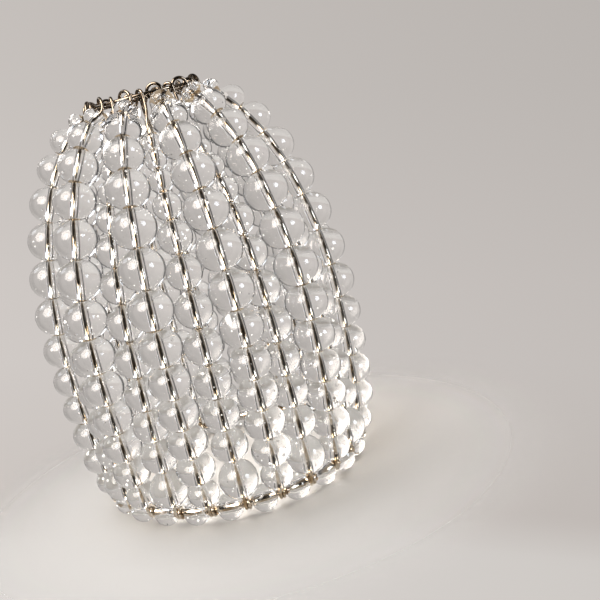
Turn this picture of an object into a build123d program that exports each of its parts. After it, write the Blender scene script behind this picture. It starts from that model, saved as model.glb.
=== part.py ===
from build123d import *
import os
from math import atan2, cos, pi, radians, sin, sqrt

# Glass bulb cover: an open cage of bent wire ribs threaded with clear glass beads.
# Millimetres. The origin is on the table, on the cage's axis, and +Z runs up to the crown ring.

# Cage
RIBS = 24                       # an outer rib and an inner rib by turns, evenly spaced
RIB_STEP = 360 / RIBS
FIRST_RIB = -75                 # where the first outer rib stands, degrees from -Y towards +X
CROWN_HEIGHT = 101.5            # crown ring above base ring, wire centre to wire centre

# Base ring: a stout wire hoop with one small bead between every two ribs
BASE_RADIUS = 33.3
BASE_WIRE = 1.6                 # wires and holes are given by their diameters
BASE_BEAD = (6.8, 6.3)          # a bead's width, and its length along the hole
BASE_HOLE = 1.9

# Crown ring: a bare thin hoop for the neck of the lampholder
CROWN_RADIUS = 14.5
CROWN_WIRE = 0.9

# Ribs
RIB_WIRE = 0.84
PLAY = 0.02                     # left between a rib and the hoop that it is bent round
WRAP_TURNS = 1.3                # turns of each rib round the base ring
WRAP_PITCH = 0.87
WRAP_STEPS = 6
EYE_START = 10                  # where a rib runs into its eye, degrees above level
EYE_STEP = 60
EYE_STEPS = 4

# The shape of each kind of rib. The bulge is (radius, height over the base ring, lean inwards in
# degrees), from the base up. The eye is given by the radius of its centre line. Beads are listed
# from the base ring up.
OUTER_LEAN_AT_BASE = -12
OUTER_BULGE = ((35.9, 8.0, -7.0), (38.0, 41.0, 0.0), (32.1, 77.5, 18.5), (20.0, 97.2, 46.0))
OUTER_EYE = 1.9
OUTER_BEADS = (
    (8.0, 6.4), (9.8, 7.0), (10.2, 7.4), (10.2, 7.7), (10.4, 8.0), (10.8, 8.7), (11.1, 9.5),
    (11.3, 9.8), (11.2, 9.6), (11.0, 8.9), (10.4, 8.1), (9.4, 6.5), (6.4, 3.7),
)
INNER_LEAN_AT_BASE = -3
INNER_BULGE = ((34.9, 8.0, -2.0), (34.9, 36.0, 1.5), (27.7, 76.5, 21.5), (19.2, 91.5, 28.0))
INNER_EYE = 1.15
INNER_BEADS = (
    (9.8, 9.4), (9.2, 8.0), (9.2, 7.9), (9.2, 8.4), (9.6, 8.9), (9.3, 9.0), (8.9, 8.6), (8.6, 8.2),
    (7.2, 6.8), (6.2, 5.8), (5.4, 5.0), (4.8, 4.4),
)
BEAD_HOLE = 1.6
HOLE_RIM = 0.1                  # bevel round the two ends of a bead's hole
BEAD_GAP = 0.01                 # play between beads that lie against each other
BORE_PLAY = 0.05                # play between a bead's bore and the wire that it hangs on
SIDES_TRIED = 12                # directions round the wire in which neighbouring beads are kept clear
SEARCH_SHARE = 0.12             # share of a rib's length in which the next bead's place is looked for
PLACE_SHARE = 0.00002           # and how closely it is found

BASE_Z = BASE_BEAD[0] / 2
CROWN_Z = BASE_Z + CROWN_HEIGHT
WRAP_RADIUS = (BASE_WIRE + RIB_WIRE) / 2 + PLAY
EYE_TOUCH = (CROWN_WIRE + RIB_WIRE) / 2 + PLAY
UP = Vector(0, 0, 1)


def arcs_between(start, start_way, end, end_way):
    """Two circular arcs, tangent to each other and to the ways given at both ends."""
    step = end - start
    both = start_way + end_way
    spread = 2 * (1 - start_way.dot(end_way))
    along = step.dot(both)
    reach = (sqrt(along * along + spread * step.dot(step)) - along) / spread
    middle = (start + end + (start_way - end_way) * reach) * 0.5
    middle_way = (step - both * reach).normalized()
    first = Edge.make_tangent_arc(start, start_way, middle)
    second = Edge.make_tangent_arc(middle, middle_way, end)
    return [first, second]


def path_through(stations):
    """Centre line of a bent wire through (point, way) stations."""
    edges = []
    for (start, start_way), (end, end_way) in zip(stations, stations[1:]):
        edges += arcs_between(start, start_way, end, end_way)
    return Wire(edges)


def wrap_stations(lean):
    """Helix round the base ring, from the wire's cut end to where the rib's leg leaves it."""
    rise = atan2(WRAP_PITCH, 2 * pi * WRAP_RADIUS)
    stations = []
    for i in range(WRAP_STEPS + 1):
        turns_left = WRAP_TURNS * (WRAP_STEPS - i) / WRAP_STEPS
        angle = radians(lean - 360 * turns_left)
        radius = BASE_RADIUS + WRAP_RADIUS * cos(angle)
        point = Vector(radius, WRAP_PITCH * turns_left, BASE_Z + WRAP_RADIUS * sin(angle))
        level = rise if turns_left else 0
        way = Vector(-sin(angle) * cos(level), -sin(level), cos(angle) * cos(level))
        stations.append((point, way))
    return stations


def leg_stations(bulge):
    """The stretch that carries the beads, in the rib's own plane."""
    stations = []
    for radius, height, lean in bulge:
        way = Vector(-sin(radians(lean)), 0, cos(radians(lean)))
        stations.append((Vector(radius, 0, BASE_Z + height), way))
    return stations


def eye_stations(radius):
    """Eye at the rib's upper end, round the crown ring and twisted until both its sides touch it."""
    across = EYE_TOUCH / radius
    along = sqrt(1 - across * across)
    centre = Vector(sqrt(CROWN_RADIUS ** 2 - (radius * along) ** 2), 0, CROWN_Z)
    outward = Vector(across, along, 0)
    stations = []
    for i in range(EYE_STEPS + 1):
        angle = radians(EYE_START + i * EYE_STEP)
        point = centre + outward * (radius * cos(angle)) + UP * (radius * sin(angle))
        stations.append((point, UP * cos(angle) - outward * sin(angle)))
    return stations


def round_wire(path, diameter):
    """Wire of round section along the path."""
    section = Plane(origin=path @ 0, z_dir=path % 0) * Circle(diameter / 2)
    return sweep(section, path=path)


def bead_arc(size, hole):
    """Radius of the arc that rounds a bead, and how far that arc's centre is off the axis."""
    width, length = size
    sag = (width - hole) / 2 - HOLE_RIM
    radius = (sag * sag + length * length / 4) / (2 * sag)
    return radius, width / 2 - radius


def bead(size, hole):
    """Pressed glass bead round the Z axis: rounded, a little flat at its ends, and bored."""
    width, length = size
    bore = hole / 2
    rim = bore + HOLE_RIM
    end = length / 2
    outline = [
        Edge.make_line((bore, 0, HOLE_RIM - end), (rim, 0, -end)),
        Edge.make_three_point_arc((rim, 0, -end), (width / 2, 0, 0), (rim, 0, end)),
        Edge.make_line((rim, 0, end), (bore, 0, end - HOLE_RIM)),
        Edge.make_line((bore, 0, end - HOLE_RIM), (bore, 0, HOLE_RIM - end)),
    ]
    return revolve(Face(Wire(outline)), axis=Axis.Z)


def seat(path, place):
    """Middle plane of a bead whose hole lies against the outer side of the rib, at this place."""
    way = path.tangent_at(place)
    inward = Vector(-way.Z, 0, way.X).normalized()
    slack = (BEAD_HOLE - RIB_WIRE) / 2 - BORE_PLAY
    return Plane(origin=path.position_at(place) + inward * slack, x_dir=inward, z_dir=way)


def gap_between(lower, lower_size, upper, upper_size):
    """Clear space between two neighbouring beads of a rib, at the side where they are closest."""
    lower_radius, lower_offset = bead_arc(lower_size, BEAD_HOLE)
    upper_radius, upper_offset = bead_arc(upper_size, BEAD_HOLE)
    gaps = []
    for turn in range(SIDES_TRIED):
        angle = 2 * pi * turn / SIDES_TRIED
        lower_side = lower.x_dir * cos(angle) + lower.y_dir * sin(angle)
        upper_side = upper.x_dir * cos(angle) + upper.y_dir * sin(angle)
        lower_centre = lower.origin + lower_side * lower_offset
        upper_centre = upper.origin + upper_side * upper_offset
        gaps.append((upper_centre - lower_centre).length - lower_radius - upper_radius)
    return min(gaps)


def lowest_place(path, start, is_clear):
    """Lowest place above start, as a share of the path, where is_clear holds."""
    low = start
    high = start + SEARCH_SHARE
    while high - low > PLACE_SHARE:
        middle = (low + high) / 2
        if is_clear(middle):
            high = middle
        else:
            low = middle
    return high


def bead_string(path, leg_start, sizes, base_beads):
    """Beads of one rib. The first rests on the base beads beside it, each other on the last."""

    def clears_base(place):
        trial = seat(path, place) * bead(sizes[0], BEAD_HOLE)
        return min(trial.distance_to(neighbour) for neighbour in base_beads) > BEAD_GAP

    place = lowest_place(path, leg_start, clears_base)
    planes = [seat(path, place)]
    for below, size in zip(sizes, sizes[1:]):
        lower = planes[-1]

        def clears_lower(trial_place):
            return gap_between(lower, below, seat(path, trial_place), size) > BEAD_GAP

        place = lowest_place(path, place, clears_lower)
        planes.append(seat(path, place))
    print("beads", len(sizes), "top bead at", round(place, 4), "of", round(path.length, 2))
    return [plane * bead(size, BEAD_HOLE) for plane, size in zip(planes, sizes)]


def base_bead_ring():
    """Base beads, one in the middle of every space between two wraps."""
    ring_radius = BASE_RADIUS - (BASE_HOLE - BASE_WIRE) / 2 + BORE_PLAY
    wrap_middle = WRAP_TURNS * WRAP_PITCH / 2
    single = bead(BASE_BEAD, BASE_HOLE)
    beads = []
    for i in range(RIBS):
        turned = Rot(0, 0, (i + 0.5) * RIB_STEP)
        middle = Plane(origin=(ring_radius, wrap_middle, BASE_Z), x_dir=(0, 0, 1), z_dir=(0, 1, 0))
        beads.append(turned * (middle * single))
    return beads


def hoop(radius, height, diameter):
    """Closed ring of round wire."""
    return Pos(0, 0, height) * Torus(radius, diameter / 2)


def rib_with_beads(lean, bulge, eye, sizes, base_beads):
    """One rib and its string, both standing over the +X axis."""
    wrap = wrap_stations(lean)
    path = path_through(wrap + leg_stations(bulge) + eye_stations(eye))
    leg_start = path_through(wrap).length / path.length
    return round_wire(path, RIB_WIRE), bead_string(path, leg_start, sizes, base_beads)


def save(name, solids):
    """One STEP for each node."""
    shape = solids[0] if len(solids) == 1 else Compound(solids)
    shape.label = name
    export_step(shape, f"parts/{name}.step")


os.makedirs("parts", exist_ok=True)
ring_of_beads = base_bead_ring()
beside_x_axis = (ring_of_beads[0], ring_of_beads[-1])
outer_rib = rib_with_beads(OUTER_LEAN_AT_BASE, OUTER_BULGE, OUTER_EYE, OUTER_BEADS, beside_x_axis)
inner_rib = rib_with_beads(INNER_LEAN_AT_BASE, INNER_BULGE, INNER_EYE, INNER_BEADS, beside_x_axis)

save("base_ring", [hoop(BASE_RADIUS, BASE_Z, BASE_WIRE)])
save("base_ring_beads", ring_of_beads)
save("crown_ring", [hoop(CROWN_RADIUS, CROWN_Z, CROWN_WIRE)])
for i in range(RIBS):
    turned = Rot(0, 0, FIRST_RIB - 90 + i * RIB_STEP)
    kind, (rib, string) = ("inner", inner_rib) if i % 2 else ("outer", outer_rib)
    number = f"{i // 2 + 1:02d}"
    save(f"{kind}_rib_{number}", [turned * rib])
    save(f"{kind}_beads_{number}", [turned * each for each in string])
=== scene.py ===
from math import cos, pi, radians, sin, sqrt
from random import Random

import bmesh
import bpy
from mathutils import Matrix, Quaternion, Vector, noise


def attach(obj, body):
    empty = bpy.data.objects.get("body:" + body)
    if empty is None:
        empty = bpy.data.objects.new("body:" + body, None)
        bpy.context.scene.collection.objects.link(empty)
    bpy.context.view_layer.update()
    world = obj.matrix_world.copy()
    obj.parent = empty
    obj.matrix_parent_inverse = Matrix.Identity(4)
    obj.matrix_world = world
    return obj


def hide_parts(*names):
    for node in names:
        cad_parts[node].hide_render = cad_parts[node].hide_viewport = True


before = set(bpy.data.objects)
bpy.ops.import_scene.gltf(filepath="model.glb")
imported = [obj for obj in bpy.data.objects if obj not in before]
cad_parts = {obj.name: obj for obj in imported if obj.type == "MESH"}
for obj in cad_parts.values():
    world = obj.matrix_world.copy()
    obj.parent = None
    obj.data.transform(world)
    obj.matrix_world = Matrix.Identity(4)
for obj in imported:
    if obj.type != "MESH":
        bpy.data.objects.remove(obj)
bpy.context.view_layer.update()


# Base ring and crown ring: two closed hoops, a stout one that stands on the table in its beads and
# a thin bare one for the lampholder's neck. Both are bent from steel wire, drawn smooth and plated
# with nickel, which has yellowed with age. Near the crown the nickel is painted brown and darker, as painted
# shade.
class Value:
    """One output of a shader node. Arithmetic on it adds Math nodes."""

    def __init__(self, socket):
        self.socket = socket

    def math(self, operation, *terms):
        """A Math node on values and numbers, in the same tree as this value."""
        node = self.socket.id_data.nodes.new("ShaderNodeMath")
        node.operation = operation
        for place, term in zip(node.inputs, terms):
            connect(place, term)
        return Value(node.outputs[0])

    def or_else(self, other):
        """The larger of this value and another."""
        return self.math("MAXIMUM", self, other)

    def __add__(self, other):
        return self.math("ADD", self, other)

    def __sub__(self, other):
        return self.math("SUBTRACT", self, other)

    def __rsub__(self, other):
        return self.math("SUBTRACT", other, self)

    def __mul__(self, other):
        return self.math("MULTIPLY", self, other)

    def __gt__(self, other):
        return self.math("GREATER_THAN", self, other)

    __radd__ = __add__
    __rmul__ = __mul__


def connect(place, term):
    """Links a value to an input, or sets the input to a number, a colour or a vector."""
    if isinstance(term, Value):
        place.id_data.links.new(term.socket, place)
    elif place.type == "RGBA":
        place.default_value = (*term, 1)
    else:
        place.default_value = term


class Nodes:
    """The shader nodes of a material or of the world."""

    def __init__(self, owner):
        owner.use_nodes = True
        self.tree = owner.node_tree
        self.tree.nodes.clear()

    def add(self, kind, settings=None, sockets=None, output=0):
        """One node: its type, its settings, what goes into its sockets, and which output."""
        node = self.tree.nodes.new("ShaderNode" + kind)
        for name, setting in (settings or {}).items():
            if name == "stops":
                ramp = node.color_ramp.elements
                while len(ramp) < len(setting):
                    ramp.new(0.5)
                for stop, (position, colour) in zip(ramp, setting):
                    stop.position = position
                    stop.color = (*colour, 1)
            else:
                setattr(node, name, setting)
        for name, term in (sockets or {}).items():
            connect(node.inputs[name], term)
        return Value(node.outputs[output]) if len(node.outputs) else node

    def noise(self, scale, detail):
        """A noise texture that is fixed to the object."""
        place = self.add("TexCoord", output="Object")
        return self.add("TexNoise", sockets={"Vector": place, "Scale": scale, "Detail": detail})

    def ramp(self, value, *stops):
        """A colour ramp over a value, from its stops, each a position and a colour."""
        return self.add("ValToRGB", {"stops": stops}, {"Fac": value})

    def soft_step(self, value, start, end):
        """Runs smoothly from 0 to 1 as the value goes from start to end."""
        return self.add("MapRange", {"interpolation_type": "SMOOTHSTEP"}, {
            "Value": value, "From Min": start, "From Max": end}, "Result")

    def blend(self, share, first, second):
        """From the first colour to the second, by the share."""
        return self.add("Mix", {"data_type": "RGBA"}, {"Factor": share, 6: first, 7: second}, 2)

    def surface(self, share, first, second):
        """The finish: one shader and another, mixed by the share."""
        mixed = self.add("MixShader", sockets={"Fac": share, 1: first, 2: second})
        self.add("OutputMaterial", sockets={"Surface": mixed})


NICKEL = (0.68, 0.62, 0.53)
YELLOWED = (0.38, 0.27, 0.15)
YELLOWING = (0.38, 0.58)        # levels of the noise between which the nickel is yellowed in part
YELLOWING_SCALE = 500.0         # noise scales are waves to a metre
# Painted shade: near the crown the nickel is painted brown and darker, to dim what it reflects there.
CROWN_PAINTED_SHADE = (0.20, 0.16, 0.12)
CROWN_PAINTED_SHADE_HEIGHTS = (0.090, 0.103)       # metres above the table
ROUGHNESS = 0.01                # of clean nickel
ROUGHENING = 0.05
DRAW_MARKS_SCALE = 2600.0
DRAW_MARKS_DEPTH = 0.00002
DRAW_MARKS_STRENGTH = 0.03
ONE_BEAD = 1.5                  # surfaces that a ray has crossed, half way between two counts
BEAD_AND_BORE = 2.5
IN_THE_BORE = 0.002             # metres from a bead's bore to the wire in it, at most

wire_finish = bpy.data.materials.new("nickelled_wire")
nodes = Nodes(wire_finish)
yellowing = nodes.noise(YELLOWING_SCALE, 4.0)
aged = nodes.ramp(yellowing, (YELLOWING[0], YELLOWED), (YELLOWING[1], NICKEL))
rise = nodes.add("SeparateXYZ", sockets={"Vector": nodes.add("TexCoord", output="Object")}, output="Z")
plating = nodes.add("BsdfPrincipled", sockets={
    "Metallic": 1.0,
    # painted shade: darker and browner near the crown
    "Base Color": nodes.blend(nodes.soft_step(rise, *CROWN_PAINTED_SHADE_HEIGHTS), aged, CROWN_PAINTED_SHADE),
    "Roughness": yellowing * ROUGHENING + ROUGHNESS,
    "Normal": nodes.add("Bump", sockets={
        "Height": nodes.noise(DRAW_MARKS_SCALE, 2.0),
        "Strength": DRAW_MARKS_STRENGTH,
        "Distance": DRAW_MARKS_DEPTH})})

# Every bead would show a jumble of the wires behind it. A ray that has been through one bead goes
# past every wire but the one in that bead's own bore.
crossed = nodes.add("LightPath", output="Transmission Depth")
far = nodes.add("LightPath", output="Ray Length") > IN_THE_BORE
passed = nodes.add("LightPath", output="Transparent Depth") > 0.5
beyond = (crossed > ONE_BEAD) * far.or_else(passed)
nodes.surface(beyond.or_else(crossed > BEAD_AND_BORE), plating, nodes.add("BsdfTransparent"))


def plate(name):
    """Puts the wire's finish on a packed wire."""
    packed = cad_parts[name].data
    packed.materials.clear()
    packed.materials.append(wire_finish)


plate("base_ring")
plate("crown_ring")

# Ribs: 24 springy wires, outer and inner by turns, of the same plated steel as the rings. Each is
# wound round the base ring, carries a string of beads, and is closed round the crown ring in an eye.
RIBS_OF_A_KIND = 12
for number in range(1, RIBS_OF_A_KIND + 1):
    plate(f"outer_rib_{number:02d}")
    plate(f"inner_rib_{number:02d}")

# Base ring beads: 24 small beads of clear pressed glass, slid onto the hoop with one rib wound
# between every two. Pressed glass is never quite round, and holds small bubbles and milky specks.
# The two ends of the hole are rough and brown.
MM = 0.001
WELD = 0.000001
SHARP = 0.5                     # radians between faces, at the rims of a hole and nowhere else
END_REACH = 0.0025              # farther than across a hole's end, nearer than the other end
BEVEL = 0.0001                  # of the rim round a hole
BROWN_INSIDE = 3                # bevels, from a bead's end to where its bore is clear
ROUND = 40                      # faces round a bead
ALONG = 20                      # and along it
SLACK = 0.006                   # share of its width by which a bead falls short of round
WAVES = 0.35                    # waves of the surface to a millimetre
NOISE_REACH = 100               # how far apart the beads' places in the noise may be
SPECKS = 18                     # bubbles and milky specks in a bead, on average
SPECKS_VARY = (0.4, 1.6)
BUBBLE_SHARE = 0.4              # of them that are bubbles
SPECK_WIDTH = (0.12, 0.55)      # millimetres
SPECK_CLEAR = 0.15              # from the bore, and from the outside
SPECK_ENDS = 4                  # rows of faces at each end of a bead that hold none
CLEAR, BORE, RIM, MILKY = range(4)


def strung_beads(node):
    """Middle, way of the hole, width, length and the hole's two radii of each packed bead."""
    form = bmesh.new()
    form.from_mesh(node.data)
    bmesh.ops.remove_doubles(form, verts=form.verts, dist=WELD)
    waiting = set(form.verts)
    found = []
    for start in form.verts:        # in the mesh's order, for the same beads in every run
        if start not in waiting:
            continue
        waiting.remove(start)
        reached = [start]
        for point in reached:
            for edge in point.link_edges:
                other = edge.other_vert(point)
                if other in waiting:
                    waiting.remove(other)
                    reached.append(other)
        rims = []
        for point in reached:
            if any(edge.calc_face_angle() > SHARP for edge in point.link_edges):
                rims.append(point.co)
        near = [point for point in rims if (point - rims[0]).length < END_REACH]
        far = [point for point in rims if (point - rims[0]).length >= END_REACH]
        near_end = sum(near, Vector()) / len(near)
        far_end = sum(far, Vector()) / len(far)
        way = (far_end - near_end).normalized()
        middle = (near_end + far_end) / 2
        off_axis = [(point.co - middle).cross(way).length / MM for point in reached]
        rim_off_axis = [(point - middle).cross(way).length / MM for point in rims]
        length = ((far_end - near_end).length + BEVEL) / MM
        found.append((middle, way, 2 * max(off_axis), length, min(rim_off_axis), max(rim_off_axis)))
    form.free()
    return sorted(found, key=lambda bead: (bead[0].z, bead[0].x, bead[0].y))


def bead_outline(width, length, bore, rim):
    """Half section of a bead, (radius, height) in millimetres, and how many points are its bore's."""
    sag = width / 2 - rim
    radius = (sag * sag + length * length / 4) / (2 * sag)
    reach = length / 2
    bevel = rim - bore
    wall = []
    for height in (reach - bevel, reach - BROWN_INSIDE * bevel, BROWN_INSIDE * bevel - reach, bevel - reach):
        wall.append((bore, height))
    outside = []
    for step in range(ALONG + 1):
        height = -reach * cos(pi * step / ALONG)
        outside.append((width / 2 - radius + sqrt(radius * radius - height * height), height))
    return wall + outside, len(wall)


ball = bmesh.new()
bmesh.ops.create_icosphere(ball, subdivisions=1, radius=0.5)
SPECK_POINTS = [point.co.copy() for point in ball.verts]
SPECK_FACES = [[point.index for point in reversed(face.verts)] for face in ball.faces]
ball.free()


def glass_beads(name, beads, chance):
    """A mesh of pressed beads, each bored along its own way, with specks closed up in the glass."""
    points = []
    faces = []
    slots = []
    for middle, way, width, length, bore, rim in beads:
        seed = Vector([chance.uniform(0, NOISE_REACH) for axis in range(3)])
        turned = way.to_track_quat("Z", "Y").to_matrix().to_4x4()
        place = Matrix.Translation(middle) @ turned @ Matrix.Scale(MM, 4)
        outline, wall = bead_outline(width, length, bore, rim)
        last = len(outline) - 1
        first = len(points)
        for index, (radius, height) in enumerate(outline):
            for turn in range(ROUND):
                angle = 2 * pi * turn / ROUND
                point = Vector((radius * cos(angle), radius * sin(angle), height))
                if wall < index < last:
                    dent = SLACK * (1 + noise.noise(point * WAVES + seed)) / 2
                    point.x *= 1 - dent
                    point.y *= 1 - dent
                points.append(place @ point)
        for index in range(len(outline)):
            row = first + index * ROUND
            after = first + (index + 1) % len(outline) * ROUND
            for turn in range(ROUND):
                beside = (turn + 1) % ROUND
                faces.append([row + turn, row + beside, after + beside, after + turn])
                if index == 1:
                    slots.append(BORE)
                else:
                    slots.append(RIM if index <= wall or index >= last - 1 else CLEAR)
        for speck in range(round(SPECKS * chance.uniform(*SPECKS_VARY))):
            across = SPECK_WIDTH[0] + (SPECK_WIDTH[1] - SPECK_WIDTH[0]) * chance.random() ** 2
            outer, height = outline[wall + chance.randint(SPECK_ENDS, ALONG - SPECK_ENDS)]
            room = outer * (1 - SLACK) - bore - 2 * SPECK_CLEAR - across
            depth = bore + SPECK_CLEAR + across / 2 + room * chance.random()
            angle = chance.uniform(0, 2 * pi)
            if room <= 0:
                continue
            centre = Vector((depth * cos(angle), depth * sin(angle), height))
            first = len(points)
            points += [place @ (centre + point * across) for point in SPECK_POINTS]
            faces += [[first + corner for corner in face] for face in SPECK_FACES]
            slots += [BORE if chance.random() < BUBBLE_SHARE else MILKY] * len(SPECK_FACES)
    form = bpy.data.meshes.new(name)
    form.from_pydata(points, [], faces)
    form.polygons.foreach_set("use_smooth", [True] * len(faces))
    form.polygons.foreach_set("material_index", slots)
    for finish in (clear_glass, bore_glass, rim_glass, milky_glass_painted_glow):
        form.materials.append(finish)
    piece = bpy.data.objects.new(name, form)
    bpy.context.collection.objects.link(piece)
    return piece


GLASS_IOR = 1.5
CLOUD_SCALE = 350.0
CLOUD = (0.35, 0.6)             # levels of the noise between which the tint changes
RIPPLE_SCALE = 420.0
RIPPLE_DEPTH = 0.00008
RIPPLE_STRENGTH = 0.012
SHADE = (0.93, 0.925, 0.915)    # of the lamps' light that comes through a bead's wall


def pressed_glass(name, pale, deep, roughness, reach):
    """Clear glass, tinted unevenly. It lets the lamps through, and a ray that has been through one
    bead goes past all that is farther off than the reach, so that every bead stays clear to read."""
    finish = bpy.data.materials.new(name)
    nodes = Nodes(finish)
    cloud = nodes.noise(CLOUD_SCALE, 2.0)
    body = nodes.add("BsdfPrincipled", sockets={
        "Base Color": nodes.ramp(cloud, (CLOUD[0], deep), (CLOUD[1], pale)),
        "Roughness": cloud * roughness,
        "IOR": GLASS_IOR,
        "Transmission Weight": 1.0,
        "Normal": nodes.add("Bump", sockets={
            "Height": nodes.noise(RIPPLE_SCALE, 3.0),
            "Strength": RIPPLE_STRENGTH,
            "Distance": RIPPLE_DEPTH})})
    crossed = nodes.add("LightPath", output="Transmission Depth")
    leaving = nodes.add("NewGeometry", output="Backfacing")
    outside = 1 - crossed.math("MODULO", crossed, 2.0)
    far = nodes.add("LightPath", output="Ray Length") > reach
    passed = nodes.add("LightPath", output="Transparent Depth") > 0.5
    beyond = leaving * outside + (1 - leaving) * (crossed > ONE_BEAD) * far.or_else(passed)
    view = nodes.add("MixShader", sockets={"Fac": beyond, 1: body, 2: nodes.add("BsdfTransparent")})
    shaded = nodes.add("BsdfTransparent", sockets={"Color": SHADE})
    nodes.surface(nodes.add("LightPath", output="Is Shadow Ray"), view, shaded)
    return finish


clear_glass = pressed_glass("clear_glass", (1.0, 1.0, 0.995), (0.985, 0.985, 0.985), 0.004, 0.0)
bore_glass = pressed_glass("bore_glass", (0.99, 0.98, 0.965), (0.97, 0.95, 0.92), 0.05, IN_THE_BORE)
rim_glass = pressed_glass("rim_glass", (0.55, 0.38, 0.20), (0.12, 0.07, 0.03), 0.25, IN_THE_BORE)

# Milky specks: white glass with a painted glow, so that they shine brighter than the lamps make them.
MILK_SCALE = 1500.0
MILK = ((0.4, (0.80, 0.77, 0.72)), (0.6, (1.0, 0.98, 0.95)))
MILK_PAINTED_GLOW = (1.0, 0.98, 0.95)   # painted glow of a milky speck, which shines though no lamp lights it so
MILK_PAINTED_GLOW_STRENGTH = 0.5
milky_glass_painted_glow = bpy.data.materials.new("milky_glass_painted_glow")
nodes = Nodes(milky_glass_painted_glow)
milk_and_painted_glow = nodes.add("BsdfPrincipled", sockets={
    "Base Color": nodes.ramp(nodes.noise(MILK_SCALE, 2.0), *MILK),
    "Roughness": 0.4,
    "Emission Color": MILK_PAINTED_GLOW,
    "Emission Strength": MILK_PAINTED_GLOW_STRENGTH})
beyond = nodes.add("LightPath", output="Transmission Depth") > ONE_BEAD
nodes.surface(beyond, milk_and_painted_glow, nodes.add("BsdfTransparent"))

base_beads = glass_beads("base_glass_beads", strung_beads(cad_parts["base_ring_beads"]), Random(7))
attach(base_beads, "root")
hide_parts("base_ring_beads")

# Strings of beads on the ribs, 13 on an outer rib and 12 on an inner one, of the same pressed glass
# and threaded on before the eye is closed. They are graded, small at both ends and large at the
# shoulder, and the outer row stands proud of the inner.
for kind in ("outer", "inner"):
    first_string = strung_beads(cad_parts[f"{kind}_beads_01"])
    for number in range(RIBS_OF_A_KIND):
        turned = Quaternion((0, 0, 1), 2 * pi * number / RIBS_OF_A_KIND)
        beads = [(turned @ middle, turned @ way, *sizes) for middle, way, *sizes in first_string]
        node = f"{kind}_beads_{number + 1:02d}"
        string = glass_beads(f"{kind}_glass_beads_{number + 1:02d}", beads, Random(f"{kind} {number}"))
        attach(string, "root")
        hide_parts(node)

# The camera looks a little down on the cover from 25 cm off. The cover leans in the picture, and
# the camera is rolled to show it so, since the frame stands upright.
LOOK_AT = Vector((0, 0, 0.05365))
DISTANCE = 0.25
TURN = 1.5                      # degrees towards +X
ELEVATION = 9.6
ROLL = 14.8
FRAME_PIXELS = 600
FOCAL_PIXELS = 925
LOOK_PIXEL = (191.0, 284.0)     # where the point looked at comes in the picture
SENSOR = 36.0

lens = bpy.data.cameras.new("camera")
lens.sensor_width = SENSOR
lens.lens = SENSOR * FOCAL_PIXELS / FRAME_PIXELS
lens.shift_x = 0.5 - LOOK_PIXEL[0] / FRAME_PIXELS
lens.shift_y = LOOK_PIXEL[1] / FRAME_PIXELS - 0.5
lens.clip_start = 0.01
camera = bpy.data.objects.new("camera", lens)
level = cos(radians(ELEVATION))
back = Vector((level * sin(radians(TURN)), -level * cos(radians(TURN)), sin(radians(ELEVATION))))
aim = (-back).to_track_quat("-Z", "Y") @ Quaternion((0, 0, 1), -radians(ROLL))
camera.location = LOOK_AT + back * DISTANCE
camera.rotation_mode = "QUATERNION"
camera.rotation_quaternion = aim
bpy.context.collection.objects.link(camera)
scene = bpy.context.scene
scene.camera = camera
scene.view_settings.view_transform = "Standard"
picture_right = aim @ Vector((1, 0, 0))
picture_up = aim @ Vector((0, 1, 0))


def toward_picture(right, up, eye):
    """The direction given by its parts to the picture's right, up and towards the eye."""
    return (picture_right * right + picture_up * up + back * eye).normalized()


# The studio: warm grey paper that sweeps up behind the cover. Glass and metal see that paper round
# about too, but for a dark band at the sides, which draws the rims of the beads, and a dark flag
# round the lens. They also see three bright cards.
SWEEP = (                       # share of the way from straight down to straight up in the picture
    (0.350, (0.70, 0.665, 0.635)),
    (0.366, (0.70, 0.665, 0.635)),
    (0.385, (0.60, 0.555, 0.525)),
    (0.460, (0.625, 0.585, 0.56)),
    (0.500, (0.615, 0.575, 0.55)),
    (0.600, (0.565, 0.53, 0.505)),
    (0.700, (0.54, 0.505, 0.48)),
)
SWEEP_LEVEL = 0.965
SWEEP_FALLOFF = 0.20            # darker towards the right
ROOM = (0.022, 0.024, 0.028)
BEHIND = (0.05, -0.04, -0.99)
SWEEP_EDGE = (0.34, 0.54)       # cosines of the angle from straight behind
BAND_EDGE = (-0.08, 0.06)       # cosines of the angle from straight in front
FLAG_EDGE = (0.36, 0.50)        # cosines of the angle from the lens
ROUND_ABOUT = 0.85              # share of the paper in what is seen there, the rest being room
CARDS = (                       # direction, degrees across half the card, and colour
    ((-0.64, 0.42, 0.64), 27, (10.5, 9.8, 9.1)),
    ((-0.78, 0.55, -0.25), 13, (3.0, 3.1, 3.3)),
    ((0.74, 0.36, 0.57), 12, (9.0, 9.8, 11.0)),
)
CARD_EDGE = (1.15, 0.75)        # of its half width, between which a card fades in
world = bpy.data.worlds.new("studio")
scene.world = world
nodes = Nodes(world)
direction = nodes.add("TexCoord", output="Generated")


def along(way):
    """Cosine of the angle between a ray into the studio and a direction."""
    return nodes.add("VectorMath", {"operation": "DOT_PRODUCT"}, {0: direction, 1: way}, "Value")


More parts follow.
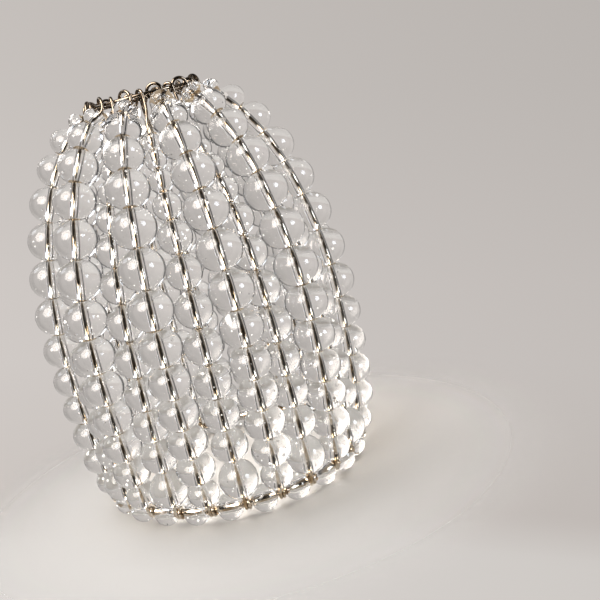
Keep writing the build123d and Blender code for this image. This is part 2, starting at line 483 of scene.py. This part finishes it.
paper = nodes.ramp(along(picture_up) * 0.5 + 0.5, *SWEEP)
falloff = SWEEP_LEVEL - along(picture_right) * SWEEP_FALLOFF
dimmed = nodes.add("VectorMath", {"operation": "SCALE"}, {0: paper, "Scale": falloff})
seen = nodes.add("LightPath", output="Is Camera Ray")
mirrored = nodes.add("LightPath", output="Is Glossy Ray")
mirrored = mirrored.or_else(nodes.add("LightPath", output="Is Transmission Ray"))
from_behind = along(toward_picture(*BEHIND))
sweep = nodes.soft_step(from_behind, *SWEEP_EDGE)
front = nodes.soft_step(0 - from_behind, *BAND_EDGE)
flag = nodes.soft_step(along(back), *FLAG_EDGE)
tent = front * (1 - flag) * mirrored * ROUND_ABOUT
colour = nodes.blend(sweep.or_else(seen).or_else(tent), ROOM, dimmed)
for way, spread, card in CARDS:
    outer, inner = [cos(radians(spread * share)) for share in CARD_EDGE]
    inside = nodes.soft_step(along(toward_picture(*way)), outer, inner)
    colour = nodes.blend(inside * mirrored, colour, card)
nodes.add("OutputWorld", sockets={"Surface": nodes.add("Background", sockets={"Color": colour})})

# The table top: a round sheet of pale paper for the cover to stand and cast its shadow on. It is
# painted lighter at the front and darker to the back, as painted light and shade, and fades into the sweep
# away from the cover, so that no tilted edge shows.
# Painted light and shade: the paper's colour is lighter at the front and darker at the back.
TABLE_PAINTED_LIT_FRONT = (0.83, 0.80, 0.765)
TABLE_PAINTED_SHADED_BACK = (0.50, 0.475, 0.45)
TABLE_PAINTED_SHADE_DEPTH = (-0.06, 0.06)     # metres from the cover's axis, between which the one turns to the other
TABLE_RADIUS = 0.6
TABLE_SIDES = 64
TABLE_CLEAR = (0.042, 0.092)    # metres from the cover's axis, between which the sheet fades
FIBRE_SCALE = 900.0
FIBRE = 0.05
table_paper = bpy.data.materials.new("table_paper")
nodes = Nodes(table_paper)
place = nodes.add("TexCoord", output="Object")
depth = nodes.add("SeparateXYZ", sockets={"Vector": place}, output="Y")
falloff = nodes.add("MapRange", sockets={
    "Value": depth, "From Min": TABLE_PAINTED_SHADE_DEPTH[0], "From Max": TABLE_PAINTED_SHADE_DEPTH[1]}, output="Result")
# painted shade from front to back, with the paper's fibre grain
painted_shade_and_grain = falloff + (nodes.noise(FIBRE_SCALE, 3.0) - 0.5) * FIBRE
sheet_finish = nodes.add("BsdfPrincipled", sockets={
    "Base Color": nodes.ramp(painted_shade_and_grain, (0.0, TABLE_PAINTED_LIT_FRONT), (1.0, TABLE_PAINTED_SHADED_BACK)),
    "Roughness": 0.9})
away = nodes.add("VectorMath", {"operation": "LENGTH"}, {0: place}, "Value")
nodes.surface(nodes.soft_step(away, *TABLE_CLEAR), sheet_finish, nodes.add("BsdfTransparent"))

turns = [2 * pi * side / TABLE_SIDES for side in range(TABLE_SIDES)]
corners = [(TABLE_RADIUS * cos(turn), TABLE_RADIUS * sin(turn), 0) for turn in turns]
sheet = bpy.data.meshes.new("table_top")
sheet.from_pydata(corners, [], [tuple(range(TABLE_SIDES))])
sheet.materials.append(table_paper)
table_top = bpy.data.objects.new("table_top", sheet)
bpy.context.collection.objects.link(table_top)

# The lamps: two soft boxes in front, which show in the beads and on the wires, and one overhead
# for the table and the shadow, which doesn't. Each has its direction from the cover, its distance,
# its width and height in metres, its power in watts, and whether glass and metal show it.
LAMPS = (
    ("left_box", (-0.60, 0.32, 0.73), 0.7, (0.15, 0.26), 1.1, True),
    ("right_window", (0.74, 0.36, 0.57), 0.8, (0.08, 0.11), 0.6, True),
    ("top_box", (-0.49, 0.87, 0.01), 0.7, (0.45, 0.45), 4.4, False),
)
for name, way, distance, size, watts, shown in LAMPS:
    lamp = bpy.data.lights.new(name, "AREA")
    lamp.shape = "RECTANGLE"
    lamp.size, lamp.size_y = size
    lamp.energy = watts
    way = toward_picture(*way)
    holder = bpy.data.objects.new(name, lamp)
    holder.location = LOOK_AT + way * distance
    holder.rotation_euler = way.to_track_quat("Z", "Y").to_euler()
    holder.visible_glossy = shown
    holder.visible_transmission = shown
    bpy.context.collection.objects.link(holder)

# A ray crosses many beads and their bores before it is out of the cover.
scene.cycles.max_bounces = 40
scene.cycles.transmission_bounces = 40
scene.cycles.glossy_bounces = 12
scene.cycles.transparent_max_bounces = 64
